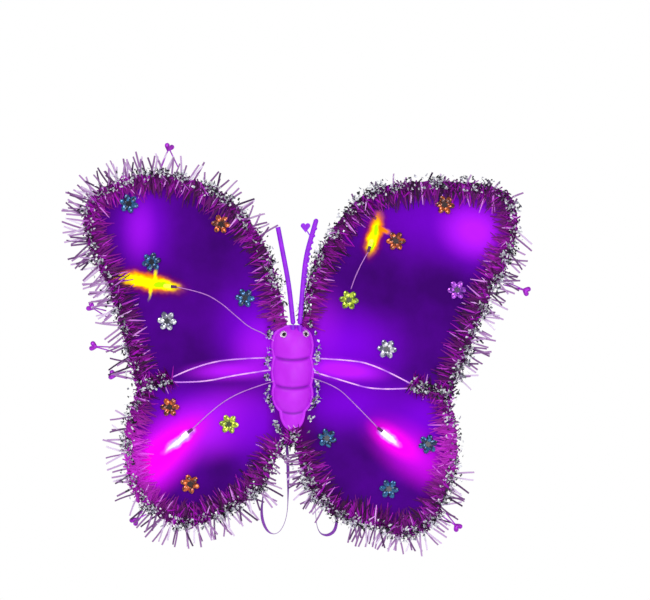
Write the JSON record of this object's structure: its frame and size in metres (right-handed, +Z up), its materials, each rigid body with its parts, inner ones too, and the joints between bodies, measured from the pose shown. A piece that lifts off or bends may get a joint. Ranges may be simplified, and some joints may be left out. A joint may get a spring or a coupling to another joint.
{
  "type": "light-up fairy wings",
  "caption": "Sheer violet butterfly wings on bent wire with tinsel edging, flower gems, lamps, a segmented insect body with rolling eyes and antennae, and elastic arm loops.",
  "frame": {"origin": "centre of the flat rear face of the battery case, which lies against the wearer's back", "axes": "+Y out of the rear face towards the wearer, -Y out of the decorated face, +Z up along the insect body, +X to the right of the decorated face"},
  "size_m": [0.5361, 0.03, 0.4695],
  "materials": {
    "violet_cloth": "sheer woven",
    "tinsel": "glossy cut film",
    "foil": "metallised film",
    "coated_wire": "dipped violet coating",
    "moulded_violet": "satin moulding",
    "case_violet": "fine spark texture",
    "zinc_steel": "zinc plated",
    "battery_sleeve": "printed can without marks",
    "spring_steel": "nickel plated",
    "board": "solder mask",
    "black_resin": "dull resin",
    "lead_cover": "translucent violet sleeve",
    "switch_black": "moulded",
    "eye_white": "printed card white",
    "pupil_black": "polished",
    "clear_cap": "clear cap",
    "antenna_violet": "soft satin tube",
    "elastic": "woven elastic",
    "gem_blue": "faceted acrylic",
    "gem_amber": "faceted acrylic",
    "gem_green": "faceted acrylic",
    "gem_clear": "faceted acrylic",
    "gem_violet": "faceted acrylic",
    "lamp_amber": "diffused epoxy",
    "lamp_white": "clear epoxy",
    "shrink": "heat-shrink sleeve"
  },
  "bodies": {
    "centre": {"antenna_roots": "antenna_violet", "arm_loop_knots": "elastic", "battery_contacts": "spring_steel", "battery_left": "battery_sleeve", "battery_right": "battery_sleeve", "battery_springs": "spring_steel", "case_screws": "zinc_steel", "centre_fabric": "violet_cloth", "centre_frame_wires": "coated_wire", "centre_leads": "lead_cover", "centre_trim": "tinsel", "circuit_board": "board", "flasher_chip": "black_resin", "front_shell": "moulded_violet", "left_arm_loop": "elastic", "left_eye_back": "eye_white", "left_eye_dome": "clear_cap", "rear_case": "case_violet", "right_arm_loop": "elastic", "right_eye_back": "eye_white", "right_eye_dome": "clear_cap", "supply_wires": "lead_cover", "switch_housing": "switch_black"},
    "left_wing": {"left_upper_frame": "coated_wire", "left_lower_frame": "coated_wire", "left_fabric": "violet_cloth", "left_trim": "tinsel", "left_hearts": "foil", "left_leads": "lead_cover", "left_lamp_sleeves": "shrink", "left_upper_led": "lamp_amber", "left_lower_led": "lamp_white", "left_amber_gems": "gem_amber", "left_blue_gems": "gem_blue", "left_clear_gems": "gem_clear", "left_green_gems": "gem_green"},
    "right_wing": {"right_upper_frame": "coated_wire", "right_lower_frame": "coated_wire", "right_fabric": "violet_cloth", "right_trim": "tinsel", "right_hearts": "foil", "right_leads": "lead_cover", "right_lamp_sleeves": "shrink", "right_upper_led": "lamp_amber", "right_lower_led": "lamp_white", "right_amber_gems": "gem_amber", "right_blue_gems": "gem_blue", "right_clear_gems": "gem_clear", "right_green_gems": "gem_green", "right_violet_gems": "gem_violet"},
    "battery_door": {"battery_door": "case_violet"},
    "door_screw": {"door_screw": "zinc_steel"},
    "switch_slider": {"switch_slider": "switch_black"},
    "left_pupil": {"left_pupil": "pupil_black"},
    "right_pupil": {"right_pupil": "pupil_black"},
    "left_antenna": {"left_antenna": "antenna_violet"},
    "right_antenna": {"right_antenna": "antenna_violet", "antenna_heart": "foil"}
  },
  "joints": [
    {"name": "left_wing_flap", "type": "hinge", "parent": "centre", "child": "left_wing", "pos_m": [-0.027, -0.0177, 0], "axis": [0, 0, 1], "range_deg": [-15, 60]},
    {"name": "right_wing_flap", "type": "hinge", "parent": "centre", "child": "right_wing", "pos_m": [0.027, -0.0177, 0], "axis": [0, 0, -1], "range_deg": [-15, 60]},
    {"name": "battery_door_swing", "type": "hinge", "parent": "centre", "child": "battery_door", "pos_m": [0, 0, -0.037], "axis": [-1, 0, 0], "range_deg": [0, 60]},
    {"name": "door_screw_turn", "type": "hinge", "parent": "battery_door", "child": "door_screw", "pos_m": [0, -0.004, 0.024], "axis": [0, 1, 0], "continuous": true},
    {"name": "power_switch_slide", "type": "slide", "parent": "centre", "child": "switch_slider", "axis": [0, 0, 1], "range_m": [0, 0.003]},
    {"name": "left_pupil_roll", "type": "hinge", "parent": "centre", "child": "left_pupil", "pos_m": [-0.01027, -0.02683, 0.047], "axis": [-0.3591, -0.8806, 0.309], "continuous": true},
    {"name": "right_pupil_roll", "type": "hinge", "parent": "centre", "child": "right_pupil", "pos_m": [0.01582, -0.02377, 0.0478], "axis": [0.5534, -0.7735, 0.309], "continuous": true},
    {"name": "left_antenna_bend", "type": "hinge", "parent": "centre", "child": "left_antenna", "pos_m": [0.0006, -0.0215, 0.0608], "axis": [1, 0, 0], "range_deg": [0, 45]},
    {"name": "right_antenna_bend", "type": "hinge", "parent": "centre", "child": "right_antenna", "pos_m": [0.0086, -0.0215, 0.0608], "axis": [1, 0, 0], "range_deg": [0, 45]}
  ]
}
